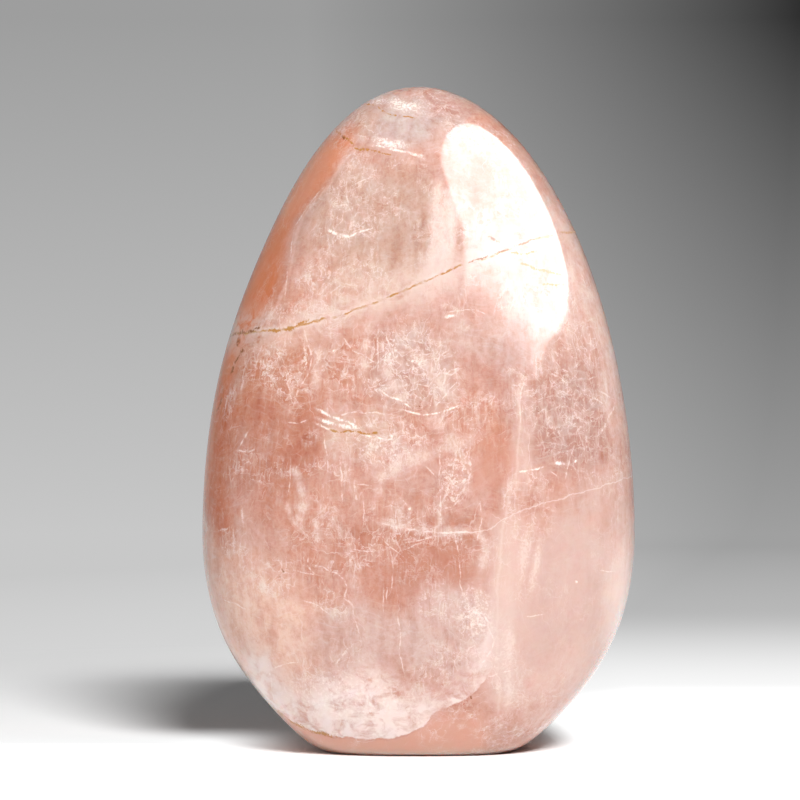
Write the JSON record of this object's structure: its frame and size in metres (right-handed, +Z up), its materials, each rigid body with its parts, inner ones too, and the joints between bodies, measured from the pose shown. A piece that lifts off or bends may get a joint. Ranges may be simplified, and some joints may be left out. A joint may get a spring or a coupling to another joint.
{
  "type": "rose quartz freeform",
  "caption": "Polished egg-shaped rose quartz freeform, flattened front to back, with broad soft flats, standing upright on a small flat foot.",
  "frame": {"origin": "middle of the stone's outline on the surface it stands on, at the level of its flat foot", "axes": "+Z up through the tip, -Y towards the broad front face, +X to the right of that face"},
  "size_m": [0.0982, 0.063, 0.1506],
  "materials": {
    "rose_quartz": "polished"
  },
  "bodies": {
    "root": {"stone": "rose_quartz"}
  },
  "joints": []
}
